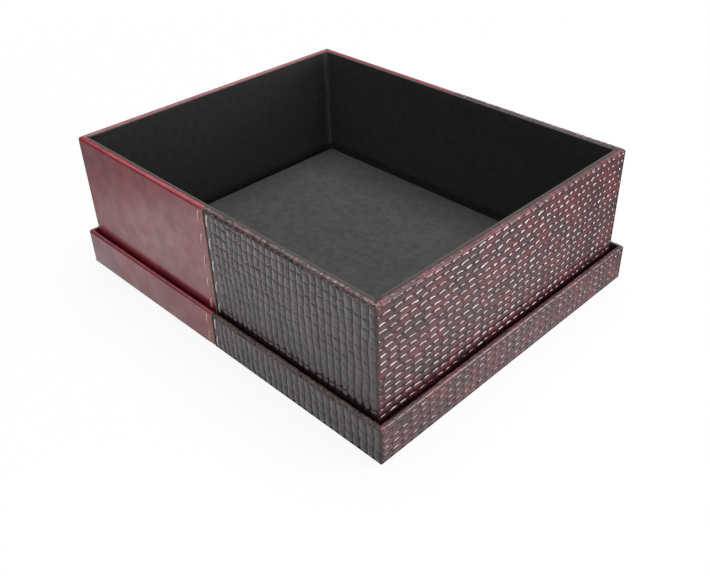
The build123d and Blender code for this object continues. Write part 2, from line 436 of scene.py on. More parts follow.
def only(piece):
    """Leaves piece as the one selected and active object."""
    bpy.ops.object.select_all(action="DESELECT")
    piece.select_set(True)
    bpy.context.view_layer.objects.active = piece


def added(name):
    """The object that the last operator added, renamed."""
    piece = bpy.context.object
    piece.name = name
    piece.data.name = name
    return piece


def editing(kind="FACE"):
    """Opens the active piece in edit mode with nothing selected."""
    bpy.ops.object.mode_set(mode="EDIT")
    bpy.ops.mesh.select_mode(type=kind)
    bpy.ops.mesh.select_all(action="DESELECT")


def chosen(piece, kind, test):
    """Leaves edit mode open with the faces, edges or vertices selected that pass test."""
    editing(kind)
    bpy.ops.object.mode_set(mode="OBJECT")
    mesh = piece.data
    points = mesh.vertices
    if kind == "FACE":
        for face in mesh.polygons:
            face.select = test(face.center, face.normal)
    elif kind == "EDGE":
        for edge in mesh.edges:
            edge.select = test(*(points[end].co for end in edge.vertices))
    else:
        for point in points:
            point.select = test(point.co)
    bpy.ops.object.mode_set(mode="EDIT")


def picked(piece, wanted):
    """Leaves edit mode open with the edges selected that have those numbers."""
    editing("EDGE")
    bpy.ops.object.mode_set(mode="OBJECT")
    for edge in piece.data.edges:
        edge.select = edge.index in wanted
    bpy.ops.object.mode_set(mode="EDIT")


def finished():
    """Closes edit mode."""
    bpy.ops.object.mode_set(mode="OBJECT")


def primitive(name, shape, **settings):
    """A new piece of one of Blender's basic shapes."""
    bpy.ops.object.select_all(action="DESELECT")
    shape(**settings)
    return added(name)


def block(name, lo, hi):
    """A cuboid between two corners, with its origin at the frame's."""
    add = bpy.ops.mesh.primitive_cube_add
    piece = primitive(name, add, size=1.0, location=(lo + hi) / 2, scale=hi - lo)
    bpy.ops.object.transform_apply(location=True, rotation=True, scale=True)
    return piece


def opened(piece, test):
    """Takes away the faces that pass test."""
    chosen(piece, "FACE", test)
    bpy.ops.mesh.delete(type="FACE")
    finished()


def bevelled(piece, test, radius, segments):
    """Rounds the edges that pass test."""
    chosen(piece, "EDGE", test)
    bpy.ops.mesh.bevel(offset=radius, segments=segments)
    finished()


def moved(piece, test, step):
    """Moves the vertices that pass test."""
    chosen(piece, "VERT", test)
    bpy.ops.transform.translate(value=step)
    finished()


def cut_across(piece, places, axis, **clear):
    """Cuts a piece across at each place along an axis, where it bends or ends."""
    only(piece)
    for place in places:
        editing()
        bpy.ops.mesh.select_all(action="SELECT")
        bpy.ops.mesh.bisect(plane_co=axis * place, plane_no=axis, **clear)
        finished()


def modified(piece, kind, **settings):
    """Adds a modifier with those settings and applies it."""
    only(piece)
    modifier = piece.modifiers.new(kind.title(), kind)
    for setting, value in settings.items():
        setattr(modifier, setting, value)
    bpy.ops.object.modifier_apply(modifier=modifier.name)


def joined(name, parts):
    """One piece made of several."""
    bpy.ops.object.select_all(action="DESELECT")
    for part in parts:
        part.select_set(True)
    bpy.context.view_layer.objects.active = parts[0]
    if len(parts) > 1:
        bpy.ops.object.join()
    return added(name)


def declared(piece, body, slot, nodes, *materials, angle=None):
    """Gives a piece its materials, shading and body, and hides the CAD nodes that it stands for; slot is
    not used.
    """
    only(piece)
    piece.data.materials.clear()
    for entry in materials:
        piece.data.materials.append(entry)
    if angle is None:
        bpy.ops.object.shade_smooth()
    else:
        bpy.ops.object.shade_smooth_by_angle(angle=math.radians(angle))
    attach(piece, body)
    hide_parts(*nodes)


def near(first, second, slack=0.01 * MM):
    """Whether two lengths are the same but for rounding."""
    return abs(first - second) < slack


def facing_up(middle, normal):
    """A test for faces that look up."""
    return normal.z > 0.9


def facing_down(middle, normal):
    """A test for faces that look down."""
    return normal.z < -0.9


# ---------------------------------------------------------------- smooth leather


def folded_skin(name, lo, hi, wall, inside, under, sizes):
    """A leather skin over four walls, turned down inside the rim and under the foot."""
    middle, half = (lo + hi) / 2, (hi - lo) / 2
    piece = block(name, lo, hi)
    chosen(piece, "FACE", facing_up)
    bpy.ops.mesh.inset(thickness=wall)
    bpy.ops.mesh.extrude_region_move(TRANSFORM_OT_translate={"value": (0.0, 0.0, -inside)})
    bpy.ops.mesh.delete(type="FACE")
    finished()
    if under > 0.0:
        chosen(piece, "FACE", facing_down)
        bpy.ops.mesh.inset(thickness=under)
        bpy.ops.mesh.delete(type="FACE")
        finished()

    def upright(first, second):
        outer = near(abs(first.x - middle.x), half.x)
        return outer and near(first.x, second.x) and near(first.y, second.y)

    def rim(first, second, inset):
        level = near(first.z, hi.z) and near(second.z, hi.z)
        front = near(first.y, second.y) and near(abs(first.y - middle.y), half.y - inset)
        side = near(first.x, second.x) and near(abs(first.x - middle.x), half.x - inset)
        return level and (front or side)

    def inner(first, second):
        return rim(first, second, wall)

    def outer(first, second):
        return upright(first, second) or rim(first, second, 0.0)

    bevelled(piece, inner, sizes.inner_round, 3)
    bevelled(piece, outer, sizes.outer_round, 5)
    if under == 0.0:
        opened(piece, facing_down)
    return piece


def bare_cut_edge(piece):
    """Leaves the backing bare, as the second material, where leather is cut at the seam."""
    seam = max(point.co.x for point in piece.data.vertices)
    for face in piece.data.polygons:
        if face.normal.x > 0.9 and near(face.center.x, seam):
            face.material_index = 1


def smooth_piece(name, cover, wall, inside, under, skin, sizes):
    """The smooth half of a cover, cut square at the seam."""
    lo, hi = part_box(cover)
    piece = folded_skin(name, lo, hi + SPARE * RIGHT, wall, inside, under, sizes)
    cut_across(piece, [hi.x], RIGHT, clear_outer=True)
    modified(piece, "SOLIDIFY", thickness=skin, offset=-1.0, use_even_offset=True)
    return piece


class STATIONERY_OT_smooth_leather(bpy.types.Operator):
    """Covers the plain half of the box and its lid in smooth red leather"""

    bl_idname = "stationery.smooth_leather"
    bl_label = "Smooth Leather"

    def execute(self, context):
        sizes = context.scene.box_sizes
        walls = wall_sizes()
        for body in ("box", "lid"):
            cover = f"{body}_smooth_cover"
            self.clad(smooth_piece(f"{body}_smooth_leather", cover, *walls[body], sizes), body, cover)
        panel = smooth_panel("lid_smooth_leather_panel", "lid_smooth_panel", sizes)
        self.clad(panel, "lid", "lid_smooth_panel")
        return {"FINISHED"}

    def clad(self, piece, body, node):
        """Puts a smooth piece in place of its CAD node."""
        finishes = (material("smooth_leather", smooth_leather), material("raw_edge", raw_edge))
        declared(piece, body, "smooth_leather", [node], *finishes, angle=SHARP)
        bare_cut_edge(piece)


def wall_sizes():
    """Wall, inside turn, turn under and skin of the box and of the lid, from the frame."""
    box_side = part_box("box_embossed_cover")[1].x
    card, base, board = (
        box_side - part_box(node)[1].x
        for node in ("box_right_liner_card", "box_base_sheet", "box_right_board")
    )
    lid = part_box("lid_embossed_cover")[1]
    lining_lo, lining_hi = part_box("lid_right_lining")
    lid_board = lid.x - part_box("lid_right_board")[1].x
    return {
        "box": (card, TURN_IN, base, board),
        "lid": (lid.x - lining_lo.x, lid.z - lining_hi.z, 0.0, lid_board),
    }


def smooth_panel(name, node, sizes):
    """The leather on the lid's own top, softened at its edges and pressed in along its border."""
    lo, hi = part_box(node)
    piece = block(name, lo, hi)

    def corner(first, second):
        return near(first.x, lo.x) and near(second.x, lo.x) and near(first.y, second.y)

    def foot(first, second):
        return near(first.z, lo.z) and near(second.z, lo.z) and (first - second).length > MM

    bevelled(piece, corner, sizes.corner_round, 5)
    bevelled(piece, foot, sizes.panel_round, 3)
    channel = hi.x - sizes.seam_strip
    cut_across(piece, (channel, channel + PRESSED_EDGE), RIGHT)

    def bed(place):
        return place.x > channel + 0.75 * PRESSED_EDGE and place.z < lo.z + PRESSED_EDGE

    moved(piece, bed, UP * sizes.stitch_sink)
    return piece


# ---------------------------------------------------------------- embossed leather


def spread(steps, first, last):
    """Lines between steps whose width goes evenly from first to last, from 0 to 1."""
    lines = [0.0]
    for step in range(steps):
        lines.append(lines[-1] + first + (last - first) * (step + 0.5) / steps)
    return [line / lines[-1] for line in lines]


def net_lines(total, cells, halves, low_edge, high_edge, depth):
    """Places and heights of the lines that cross a net, and the first and last line with scales.

    cells is the (first, last) size of a cell, which halves lines divide. An edge is a list of
    (distance from the end, height) lines, outermost first, and then the width of the edge.
    """
    low, low_width = low_edge
    high, high_width = high_edge
    scaled = total - low_width - high_width
    count = max(1, round(2 * scaled / sum(cells)))
    lines = [(distance, height) for distance, height in low]
    for line in spread(count * halves, *cells):
        lines.append((low_width + line * scaled, -depth))
    lines += [(total - distance, height) for distance, height in reversed(high)]
    return lines, len(low), len(low) + count * halves, scaled / count


def drift(x, y, seed):
    """How far the lines of a net wander from straight at a place, in cells along and across."""
    slow = noise.noise_vector(Vector((x / WANDER, y / WANDER, seed * SLOW_LAYER)))
    quick = noise.noise_vector(Vector((x / FLUTTER, y / FLUTTER, seed * QUICK_LAYER)))
    return WANDER_ALONG * slow.x, WANDER_ACROSS * slow.y + WANDER_ACROSS * quick.y


def scale_net(name, along, across, seed):
    """A flat net of cells: courses run along X and are stacked across, in Y.

    along and across are what net_lines gives for X and Y. A course starts in line with the
    one below it or half a cell on.
    """
    long_lines, first_step, last_step, cell = along
    cross_lines, first_row, last_row, pitch = across
    steps = len(long_lines) - 1
    rows = len(cross_lines) - 1
    add = bpy.ops.mesh.primitive_grid_add
    piece = primitive(name, add, x_subdivisions=steps, y_subdivisions=rows, size=2.0)
    mesh = piece.data
    cells = [
        (round((p.co.x + 1) / 2 * steps), round((p.co.y + 1) / 2 * rows)) for p in mesh.vertices
    ]
    draw = random.Random(seed)
    shifts, leans = (
        [[draw.uniform(-1, 1) for _ in long_lines] for _ in cross_lines] for _ in range(2)
    )
    starts = [0]
    while len(starts) < rows + 1:
        starts.append(starts[-1] if draw.random() < ALIGNED else 1 - starts[-1])

    def walled(step, course):
        return first_row <= course < last_row and (step - first_step + starts[course]) % 2 == 0

    for point, (step, row) in zip(mesh.vertices, cells):
        x, height_x = long_lines[step]
        y, height_y = cross_lines[row]
        wander_x, wander_y = drift(x, y, seed)
        in_courses = first_row <= row <= last_row
        above, below = walled(step, row), walled(step, row - 1)
        if first_step < step < last_step and in_courses:
            walls = [course for course, wall in ((row, above), (row - 1, below)) if wall]
            for course in walls:
                x += cell * SHIFT * shifts[course][step] / len(walls)
                x += cell * LEAN * leans[course][step] * (1 if course == row else -1)
            x += cell * wander_x
        if first_row < row < last_row and first_step <= step <= last_step:
            y += pitch * wander_y
        if first_step <= step <= last_step and not in_courses:
            height = height_y
        elif in_courses:
            height = height_x
        else:
            height = min(height_x, height_y)
        point.co = (x, y, height)
    crossing = set()
    for edge in mesh.edges:
        (step, row), (other_step, other_row) = (cells[end] for end in edge.vertices)
        lower = min(row, other_row)
        scaled = first_step < step < last_step and first_row <= lower < last_row
        if scaled and step == other_step and not walled(step, lower):
            crossing.add(edge.index)
    picked(piece, crossing)
    bpy.ops.mesh.dissolve_edges(use_verts=False, use_face_split=False)
    finished()
    return piece


def raise_scales(piece, along, across, sizes, proud, arch, slope, seed):
    """Raises the cells of a net into pillowed scales, which stand proud of Z = 0.

    arch is how much higher the middle of a course is than its sides, and slope how much every
    scale leans along X and Y, as overlapping scales do.
    """
    lines, first_row, last_row, pitch = across
    edges = [line for line, height in lines[first_row:last_row + 1]]
    low_x, high_x = along[0][along[1]][0], along[0][along[2]][0]
    low_y, high_y = edges[0], edges[-1]
    only(piece)
    depth = sizes.groove_depth + proud

    def scaled(middle, normal):
        return low_x < middle.x < high_x and low_y < middle.y < high_y

    chosen(piece, "FACE", scaled)
    for width, part in (
        (sizes.groove_slope, SLOPE_SHARE),
        (sizes.shoulder, SHOULDER_SHARE),
        (sizes.dome, DOME_SHARE),
    ):
        bpy.ops.mesh.inset(use_individual=True, thickness=width, depth=part * depth)
    finished()
    draw = random.Random(seed)
    mesh = piece.data
    for face in mesh.polygons:
        if face.select:
            centre = face.center.copy()
            lift = draw.uniform(-sizes.scale_tilt, 0.0)
            lean = Vector((draw.uniform(-1, 1), draw.uniform(-1, 1))) * SCALE_LEAN + Vector(slope)
            for end in face.vertices:
                point = mesh.vertices[end].co
                point.z += lift + lean.x * (point.x - centre.x) + lean.y * (point.y - centre.y)
    modified(piece, "SUBSURF", levels=1, render_levels=1, boundary_smooth="PRESERVE_CORNERS")
    for point in mesh.vertices:
        place = point.co
        straight = place.y - pitch * drift(place.x, place.y, seed - 1)[1]
        course = bisect.bisect_right(edges, straight)
        if 0 < course < len(edges) and low_x <= place.x <= high_x:
            low, high = edges[course - 1], edges[course]
            off_middle = 2 * (straight - low) / (high - low) - 1
            place.z += arch * (0.5 - off_middle**2)


def close_back(piece, skin):
    """Gives a flat open sheet its thickness, down to one face at Z = -skin."""
    edges = {}
    for face in piece.data.polygons:
        for edge in face.edge_keys:
            edges[edge] = edges.get(edge, 0) + 1
    picked(piece, {edge.index for edge in piece.data.edges if edges[edge.key] == 1})
    bpy.ops.mesh.extrude_edges_move()
    bpy.ops.transform.resize(value=(1.0, 1.0, 0.0), center_override=(0.0, 0.0, -skin))
    bpy.ops.mesh.edge_face_add()
    bpy.ops.mesh.select_all(action="SELECT")
    bpy.ops.mesh.normals_make_consistent(inside=False)
    finished()


def clamped(value):
    """A value kept from 0 to 1."""
    return min(1.0, max(0.0, value))


def relief_of(height, depth, proud):
    """How far a height is above the bottom of the grooves, from 0 to 1."""
    return clamped((height + depth) / (depth + proud))


def rolled_edge(edge):
    """The edge of an embossed sheet, rolled down towards its back."""
    return [(0.0, -0.55 * edge), (0.22 * edge, -0.14 * edge), (0.62 * edge, 0.0)], edge


def mark(piece, name, values):
    """Keeps one value for each point of a piece, for its leather's colour."""
    piece.data.attributes.new(name, "FLOAT", "POINT").data.foreach_set("value", values)


def wall_profile(height, wall, inside, under, sizes):
    """Runs of leather up a wall, over its rim and down inside, as (length, bend radius)."""
    quarter = math.pi / 2
    bend, inner = sizes.rim_round, sizes.inner_round
    runs = []
    foot = 0.0
    if under > 0.0:
        foot = sizes.inner_round
        runs += [(under - foot, 0.0), (foot * quarter, foot)]
    runs += [(height - foot - bend, 0.0), (bend * quarter, bend), (wall - bend - inner, 0.0)]
    runs += [(inner * quarter, inner), (inside - inner, 0.0)]
    return runs


def along_profile(runs, travel, heading):
    """Where leather is after that travel along a profile, and which way it faces.

    Both are (outward, upward), and every bend turns towards the inside.
    """
    place = Vector((0.0, 0.0))
    heading = Vector(heading)
    for length_of_run, radius in runs:
        step = min(travel, length_of_run)
        if radius > 0.0:
            turn = step / radius
            side = Vector((-heading.y, heading.x))
            place += radius * (math.sin(turn) * heading + (1 - math.cos(turn)) * side)
            heading = math.cos(turn) * heading + math.sin(turn) * side
        else:
            place += heading * step
        travel -= step
        if travel <= 0.0:
            break
    return place, Vector((heading.y, -heading.x))


def wall_net(total, span, upright, mitres, sizes):
    """What net_lines gives along and across the courses of a wall of leather."""
    edge, strip, depth = sizes.sheet_edge, sizes.seam_strip, sizes.groove_depth
    plain = [(0.0, -0.88 * edge), (2.2 * edge, -0.80 * edge), (2.6 * edge, -0.24 * edge)]
    plain += [(3.2 * edge, 0.0), (strip - 0.4 * edge, 0.0)]
    bare = ([], 0.0)
    ends = [rolled_edge(edge) if mitre else (plain, strip) for mitre in mitres]
    if upright:
        scales = (sizes.front_scale, sizes.front_scale)
        courses = (sizes.front_course_near, sizes.front_course_far)
        along = net_lines(total, scales, 2, bare, bare, depth)
        return along, net_lines(span, courses, 1, *ends, depth)
    scales = (sizes.side_scale_near, sizes.side_scale_far)
    courses = (sizes.side_course, sizes.side_course)
    along = net_lines(span, scales, 2, *ends, depth)
    return along, net_lines(total, courses, 1, bare, bare, depth)


def wall_bends(runs, sizes):
    """Where leather is cut so that it can bend along its runs, and the middle of its crease."""
    bends, reached, crease = [], 0.0, 0.0
    for run, radius in runs:
        if radius > 0.0:
            bends += [reached + run * (cut / BEND_CUTS) for cut in range(BEND_CUTS + 1)]
        if radius == sizes.rim_round:
            crease = reached + CREASE / 2
            bends += [crease - CREASE / 2, crease - CREASE / 5, crease + CREASE / 5]
        reached += run
    return bends, crease


def embossed_wall(name, start, direction, outward, span, upright, cover, seed, sizes, mitres):
    """Embossed leather on one straight wall, from under its foot to the inside of its rim.

    upright says that the courses of scales run up the wall, and mitres which ends of the wall
    meet another one. An end that isn't mitred is the seam.
    """
    height, wall, inside, under, skin = cover
    runs = wall_profile(height, wall, inside, under, sizes)
    total = sum(run for run, radius in runs)
    depth = sizes.groove_depth
    along, across = wall_net(total, span, upright, mitres, sizes)
    piece = scale_net(name, along, across, seed)
    proud = sizes.scale_proud
    arch = sizes.front_arch if upright else sizes.side_arch
    if under == 0.0:
        arch *= LID_PRESSED
    slope = (0, 0 if upright else SHINGLE)
    raise_scales(piece, along, across, sizes, proud, arch, slope, seed + 1)
    close_back(piece, skin)
    bends, crease = wall_bends(runs, sizes)
    cut_across(piece, bends, RIGHT if upright else BACK)
    heading = (1.0, 0.0) if under > 0.0 else (0.0, 1.0)
    rim = total - inside - wall + sizes.inner_round
    relief, worn = [], []
    facing = "front" if upright else "side"
    kept, fill = RIM_RELIEF[facing], RIM_FILL[facing]
    for point in piece.data.vertices:
        travel, reach = (point.co.x, point.co.y) if upright else (point.co.y, point.co.x)
        reach = min(span, max(0.0, reach))
        stretched = clamped((travel - rim) / RIM_STRETCH + 1.0)
        pressed = 0.0
        if upright:  # deepest along the middle of the crease and gone at its sides
            pressed = clamped(1.6 - 3.2 * abs(travel - crease) / CREASE) * sizes.rim_crease
        worn.append(stretched)
        # The crease is marked as lower relief, so the grooves' painted shade darkens it too
        carved = relief_of(point.co.z - pressed, depth + arch / 2, proud + arch / 2)
        relief.append(carved + (1.0 - carved) * fill * stretched)
        if point.co.z > 0.01 * MM - skin:  # the grain side, and not the back
            point.co.z *= 1.0 - (1.0 - kept) * stretched
            point.co.z -= pressed
        (out, rise), (face_out, face_up) = along_profile(runs, max(0.0, travel), heading)
        inward = max(0.0, under - out) if under > 0.0 else max(0.0, -out)
        # Leather that lies further in is shorter where the wall meets another one
        low_end, high_end = (inward if mitre else 0.0 for mitre in mitres)
        if reach < MITRE:
            reach = low_end + reach * (MITRE - low_end) / MITRE
        elif reach > span - MITRE:
            reach = span - high_end - (span - reach) * (MITRE - high_end) / MITRE
        out = out - under + point.co.z * face_out
        rise = rise + point.co.z * face_up
        point.co = start + direction * reach + outward * out + UP * rise
    mark(piece, "relief", relief)
    mark(piece, "edge", worn)
    travels, spans = (UP, direction) if upright else (direction, UP)
    if travels.cross(spans).dot(outward) < 0:
        only(piece)
        editing()
        bpy.ops.mesh.select_all(action="SELECT")
        bpy.ops.mesh.flip_normals()
        finished()
    return piece


def embossed_cover(body, seed, sizes):
    """The embossed leather on the front, side and back walls of the box or of its lid."""
    cover = f"{body}_embossed_cover"
    lo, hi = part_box(cover)
    wall, inside, under, skin = wall_sizes()[body]
    shape = (hi.z - lo.z, wall, inside, under, skin)
    dark = material("embossed_leather", embossed_leather, DARK)
    wine = material("embossed_leather_wine", embossed_leather, WINE)
    flat = material("embossed_leather_pressed", embossed_leather, DARK, PRESSED_GLOSS)
    width, depth = hi.x - lo.x, hi.y - lo.y
    for name, start, direction, outward, span, upright, mitres, finish in (
        ("front", (lo.x, lo.y), RIGHT, -BACK, width, True, (False, True), dark),
        ("back", (lo.x, hi.y), RIGHT, BACK, width, True, (False, True), dark),
        ("side", (hi.x, lo.y), BACK, RIGHT, depth, False, (True, True), wine),
    ):
        corner = Vector((*start, lo.z))
        piece = embossed_wall(
            f"{body}_embossed_{name}", corner, direction, outward, span, upright, shape, seed,
            sizes, mitres,
        )
        declared(piece, body, "embossed_leather", [cover], finish, flat)
        strip_end = lo.x + sizes.seam_strip
        for face in piece.data.polygons:
            face.material_index = 1 if face.center.x < strip_end else 0
        seed += SEED_STEP


def embossed_panel(name, node, sizes, seed):
    """The embossed leather on the lid's own top, which lies on the table."""
    lo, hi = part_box(node)
    edge = sizes.sheet_edge
    depth = sizes.groove_depth
    rolled = rolled_edge(edge)
    strip, channel = sizes.seam_strip, sizes.stitch_sink
    plain = [(0.0, -channel), (0.5 * edge, -channel)]
    plain += [(strip - 0.8 * edge, -channel), (strip - 0.4 * edge, 0.0)]
    scales = (sizes.side_scale_near, sizes.side_scale_far)
    courses = (sizes.side_course, sizes.side_course)
    along = net_lines(hi.y - lo.y, scales, 2, rolled, rolled, depth)
    across = net_lines(hi.x - lo.x, courses, 1, (plain, strip), rolled, depth)
    piece = scale_net(name, along, across, seed)
    raise_scales(piece, along, across, sizes, 0.0, 0.0, (0, 0), seed + 1)
    close_back(piece, hi.z - lo.z)
    mark(piece, "relief", [relief_of(point.co.z, depth, 0.0) for point in piece.data.vertices])
    for point in piece.data.vertices:
        point.co = (lo.x + point.co.y, lo.y + point.co.x, lo.z - min(0.0, point.co.z))
    return piece


class STATIONERY_OT_embossed_box(bpy.types.Operator):
    """Covers the other half of the box in embossed leather"""

    bl_idname = "stationery.embossed_box"
    bl_label = "Embossed Box Leather"

    def execute(self, context):
        embossed_cover("box", BOX_SEED, context.scene.box_sizes)
        return {"FINISHED"}


class STATIONERY_OT_embossed_lid(bpy.types.Operator):
    """Covers the other half of the lid in embossed leather"""

    bl_idname = "stationery.embossed_lid"
    bl_label = "Embossed Lid Leather"

    def execute(self, context):
        sizes = context.scene.box_sizes
        embossed_cover("lid", LID_SEED, sizes)
        panel = embossed_panel("lid_embossed_top", "lid_embossed_panel", sizes, TOP_SEED)
        wine = material("embossed_leather_wine", embossed_leather, WINE)
        declared(panel, "lid", "embossed_leather", ["lid_embossed_panel"], wine)
        return {"FINISHED"}


# ---------------------------------------------------------------- cloth, boards and thread


def even_cuts(piece, lo, hi, run):
    """Cuts a cloth across in even steps between two corners."""
    start, end = lo.dot(run), hi.dot(run)
    cuts = round((end - start) / VELVET_STEP)
    cut_across(piece, [start + (end - start) * cut / cuts for cut in range(1, cuts)], run)


def glued(piece, sizes, seed):
    """Leaves a glued cloth slightly uneven and gives it its thickness."""
    normals = [point.normal.copy() for point in piece.data.vertices]
    for point, normal in zip(piece.data.vertices, normals):
        swell = noise.noise(point.co / RIPPLE + seed * RIGHT)
        point.co += normal * (sizes.velvet_ripple * swell)
    modified(piece, "SOLIDIFY", thickness=sizes.velvet_pile, offset=-1.0)
    return piece


def velvet_facing(name, node, inward, sizes):
    """Velvet down the face of a liner card and folded over its top edge."""
    lo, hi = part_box(node)
    piece = block(name, lo, hi)
    card, face = sorted((lo.dot(inward), hi.dot(inward)))

    def hidden(middle, normal):
        return normal.z < 0.9 and normal.dot(inward) < 0.9

    def fold(first, second):
        inner = near(first.dot(inward), face) and near(second.dot(inward), face)
        return inner and near(first.z, hi.z) and near(second.z, hi.z)

    def tuck(place):
        return near(place.dot(inward), card)

    opened(piece, hidden)
    bevelled(piece, fold, sizes.velvet_round, 4)
    moved(piece, tuck, UP * (-0.5 * sizes.velvet_pile))
    axis = Vector([abs(part) for part in inward])
    even_cuts(piece, lo, hi, axis.yxz)
    rows = range(1, VELVET_ROWS)
    cut_across(piece, [hi.z - (hi.z - lo.z) * row / VELVET_ROWS for row in rows], UP)
    cut_across(piece, [(face + card) / 2 * inward.dot(axis)], axis)
    return glued(piece, sizes, face)


def velvet_pad(name, node, sizes):
    """Velvet over the floor card and down its edges."""
    lo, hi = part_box(node)
    piece = block(name, lo, hi)

    def fold(first, second):
        return near(first.z, hi.z) or near(second.z, hi.z)

    opened(piece, facing_down)
    bevelled(piece, fold, sizes.velvet_round, 3)
    for axis in (RIGHT, BACK):
        even_cuts(piece, lo, hi, axis)
    return glued(piece, sizes, FLOOR_SEED)


class STATIONERY_OT_velvet(bpy.types.Operator):
    """Lines the box with black velvet"""

    bl_idname = "stationery.velvet"
    bl_label = "Velvet"

    def execute(self, context):
        sizes, colours = context.scene.box_sizes, context.scene.box_colours
        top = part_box("box_front_velvet")[1].z
        # The left wall gets a darker copy of the wall velvet, as painted shade
        brushed = shade(LEFT_WALL_SHADE, colours.wall_velvet)
        wall = material("wall_velvet", velvet, colours.wall_velvet, top)
        shaded_wall = material("wall_velvet_painted_shade", velvet, brushed, top)
        floor = material("floor_velvet", velvet, colours.floor_velvet, top)
        for side, inward, cloth in (
            ("front", BACK, wall),
            ("back", -BACK, wall),
            ("left", RIGHT, shaded_wall),
            ("right", -RIGHT, wall),
        ):
            node = f"box_{side}_velvet"
            facing = velvet_facing(f"box_{side}_velvet_facing", node, inward, sizes)
            declared(facing, "box", "black_velvet", [node], cloth)
        pad = velvet_pad("box_velvet_floor", "box_floor_velvet", sizes)
        declared(pad, "box", "black_velvet", ["box_floor_velvet"], floor)
        return {"FINISHED"}


class STATIONERY_OT_boards(bpy.types.Operator):
    """Gives the lining papers, cards and boards their finishes"""

    bl_idname = "stationery.boards"
    bl_label = "Linings and Boards"

    def execute(self, context):
        colours = context.scene.box_colours
        paper = material("lid_lining", lining_paper, colours.lining)
        base = material("base_paper", lining_paper, colours.base_paper)
        board = material("greyboard", pressed_board, colours.board)
        card = material("liner_card", pressed_board, colours.card)
        for name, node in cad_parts.items():
            for ending, finish in (
                ("lining", paper),
                ("base_sheet", base),
                ("board", board),
                ("card", card),
            ):
                if name.endswith(ending):
                    node.material_slots[0].material = finish
        return {"FINISHED"}


# ---------------------------------------------------------------- stitching


def straight_thread(name, sizes):
    """A twisted two-ply thread standing on Z = 0, one unit long."""
    add = bpy.ops.mesh.primitive_circle_add
    radius = sizes.stitch_radius
    piece = primitive(name, add, vertices=THREAD_SIDES, radius=radius, fill_type="NGON")
    editing()
    bpy.ops.mesh.select_all(action="SELECT")
    centre = (0.0, 0.0, 0.0)
    bpy.ops.transform.resize(value=(1.0, THREAD_FLATNESS, 1.0), center_override=centre)
    for step in range(THREAD_STEPS):
        rise = {"value": (0.0, 0.0, 1.0 / THREAD_STEPS)}
        bpy.ops.mesh.extrude_region_move(TRANSFORM_OT_translate=rise)
        bpy.ops.transform.rotate(value=THREAD_TWIST, orient_axis="Z", center_override=centre)
    bpy.ops.mesh.select_all(action="SELECT")
    bpy.ops.mesh.normals_make_consistent(inside=False)
    finished()
    return piece


def laid_stitch(pattern, name, middle, up, out, lean, sizes, draw):
    """A copy of the straight thread, laid as one bowed stitch that dives into its two holes."""
    only(pattern)
    bpy.ops.object.duplicate()
    piece = added(name)
    lean += draw.gauss(0.0, STITCH_SWAY)
    side = up.cross(out)
    along = math.cos(lean) * up + math.sin(lean) * side
    across = along.cross(out)
    length_of_stitch = sizes.stitch_length * draw.uniform(*STITCH_LENGTHS)
    bow = sizes.stitch_bow * draw.uniform(*STITCH_BOWS)

    def centre(part):
        swing = 2 * part - 1
        rise = sizes.stitch_radius * STITCH_HEIGHT - sizes.stitch_sink * swing**6
        sideways = bow / 2 - bow * (1 - swing**2)
        return middle + along * (length_of_stitch * swing / 2) + across * sideways + out * rise

    for point in piece.data.vertices:
        part = point.co.z
        ahead = centre(part + 0.01) - centre(part - 0.01)
        ahead.normalize()
        left = ahead.cross(out).normalized()
        above = left.cross(ahead)
        point.co = centre(part) + left * point.co.x + above * point.co.y
    return piece


def even_places(start, end, pitch, stitch):
    """Middles of the stitches of a row between two ends."""
    reach = end - start - stitch
    count = round(reach / pitch) + 1
    return [start + stitch / 2 + reach * step / (count - 1) for step in range(count)]


class STATIONERY_OT_stitching(bpy.types.Operator):
    """Sews a row of stitches along both sides of the seam"""

    bl_idname = "stationery.stitching"
    bl_label = "Stitching"

    def execute(self, context):
        sizes, colours = context.scene.box_sizes, context.scene.box_colours
        pattern = straight_thread("thread_pattern", sizes)
        draw = random.Random(STITCH_SEED)
        for half, thread, tint in (
            ("embossed", "ivory_thread", colours.ivory),
            ("smooth", "pink_thread", colours.pink),
        ):
            finish = material(thread, sewing_thread, tint)
            for body in ("box", "lid"):
                lines = self.wall_lines(body, half, sizes)
                self.row(f"{body}_{half}", body, thread, finish, lines, pattern, sizes, draw)
            lines = self.top_lines(half, sizes)
            self.row(f"lid_{half}_top", "lid", thread, finish, lines, pattern, sizes, draw)
        bpy.data.objects.remove(pattern)
        return {"FINISHED"}

    def wall_lines(self, body, half, sizes):
        """Middle, direction, outward direction and lean of the stitches on two walls."""
        lo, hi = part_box(f"{body}_{half}_stitches")
        cover_lo, cover_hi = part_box(f"{body}_{half}_cover")
        pitch = BOX_PITCH if body == "box" else LID_PITCH
        return [
            (Vector(((lo.x + hi.x) / 2, wall, height)), UP, out, -out.y * STITCH_LEAN)
            for out, wall in ((-BACK, cover_lo.y), (BACK, cover_hi.y))
            for height in even_places(lo.z, hi.z, pitch, sizes.stitch_length)
        ]

    def top_lines(self, half, sizes):
        """The same for the row across the lid's own top."""
        lo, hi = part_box(f"lid_{half}_top_stitches")
        return [
            (Vector(((lo.x + hi.x) / 2, place, hi.z + STITCH_HEIGHT * MM)), BACK, -UP, 0.0)
            for place in even_places(lo.y, hi.y, LID_PITCH, sizes.stitch_length)
        ]

    def row(self, name, body, thread, finish, lines, pattern, sizes, draw):
        """One piece with all the stitches of a row."""
        node = f"{name}_stitches"
        stitches = [laid_stitch(pattern, node, *line, sizes, draw) for line in lines]
        declared(joined(f"{name}_thread", stitches), body, thread, [node], finish)


# ---------------------------------------------------------------- stage


